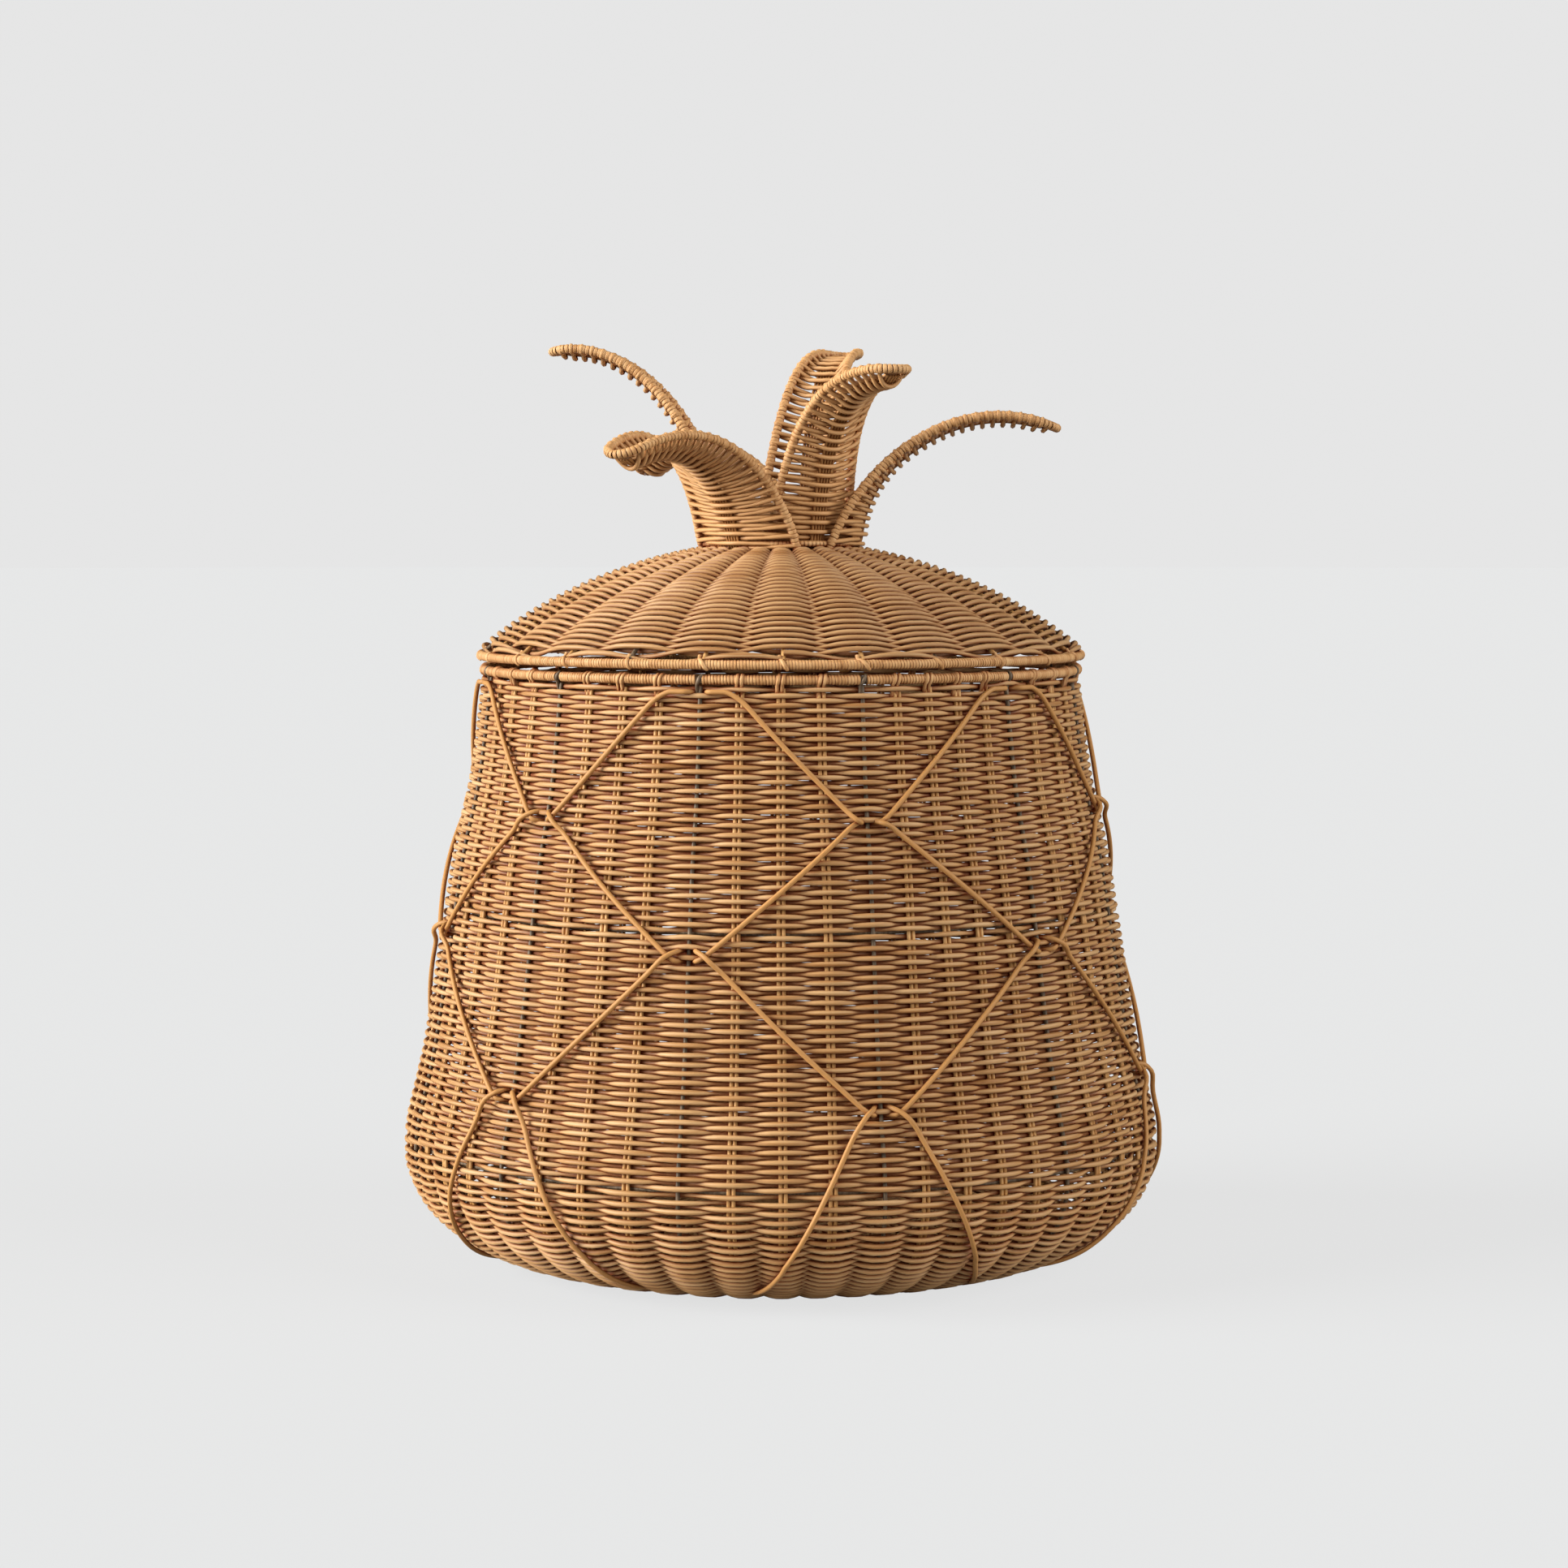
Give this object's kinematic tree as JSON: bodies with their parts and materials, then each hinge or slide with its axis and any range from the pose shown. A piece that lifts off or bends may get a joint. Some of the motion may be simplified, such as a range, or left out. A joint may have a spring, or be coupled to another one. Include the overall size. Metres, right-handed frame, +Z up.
{
  "type": "lidded basket",
  "caption": "Pear-shaped woven rattan basket on a wire frame, with a diamond lattice of cords outside and a domed lift-off lid crowned by arching woven leaves.",
  "frame": {"origin": "centre of the flat underside, on the surface that the basket stands on", "axes": "+Z up along the basket's axis, through the lid and the crown; the pictured front faces -Y, with +X to its right"},
  "size_m": [0.4147, 0.4137, 0.4933],
  "materials": {
    "rattan_weave": "natural round rattan reed, clear satin",
    "cane_binding": "split cane wrapped round the rings and leaf edges, clear satin",
    "steel_wire": "grey-brown drawn wire, dull"
  },
  "bodies": {
    "basket": {"base_ring": "steel_wire", "base_weave": "rattan_weave", "belly_ring": "steel_wire", "lattice_cord_1": "rattan_weave", "lattice_cord_2": "rattan_weave", "lattice_cord_3": "rattan_weave", "lattice_cord_4": "rattan_weave", "lower_weave": "rattan_weave", "middle_weave": "rattan_weave", "rim_ring": "cane_binding", "upper_weave": "rattan_weave", "upright_1": "steel_wire", "upright_10": "steel_wire", "upright_11": "steel_wire", "upright_12": "steel_wire", "upright_2": "steel_wire", "upright_3": "steel_wire", "upright_4": "steel_wire", "upright_5": "steel_wire", "upright_6": "steel_wire", "upright_7": "steel_wire", "upright_8": "steel_wire", "upright_9": "steel_wire", "waist_ring": "steel_wire"},
    "lid": {"crown_ring_inner": "cane_binding", "crown_ring_outer": "cane_binding", "leaf_1_edge": "cane_binding", "leaf_1_midrib": "rattan_weave", "leaf_1_weave": "rattan_weave", "leaf_2_edge": "cane_binding", "leaf_2_midrib": "rattan_weave", "leaf_2_weave": "rattan_weave", "leaf_3_edge": "cane_binding", "leaf_3_midrib": "rattan_weave", "leaf_3_weave": "rattan_weave", "leaf_4_edge": "cane_binding", "leaf_4_midrib": "rattan_weave", "leaf_4_weave": "rattan_weave", "leaf_5_edge": "cane_binding", "leaf_5_midrib": "rattan_weave", "leaf_5_weave": "rattan_weave", "leaf_6_edge": "cane_binding", "leaf_6_midrib": "rattan_weave", "leaf_6_weave": "rattan_weave", "lid_ring": "cane_binding", "lid_spoke_1": "steel_wire", "lid_spoke_2": "steel_wire", "lid_spoke_3": "steel_wire", "lid_spoke_4": "steel_wire", "lid_spoke_5": "steel_wire", "lid_spoke_6": "steel_wire", "lid_weave": "rattan_weave"}
  },
  "joints": [
    {"name": "lid_lift", "type": "slide", "parent": "basket", "child": "lid", "axis": [0, 0, 1], "range_m": [0, 0.2]}
  ]
}
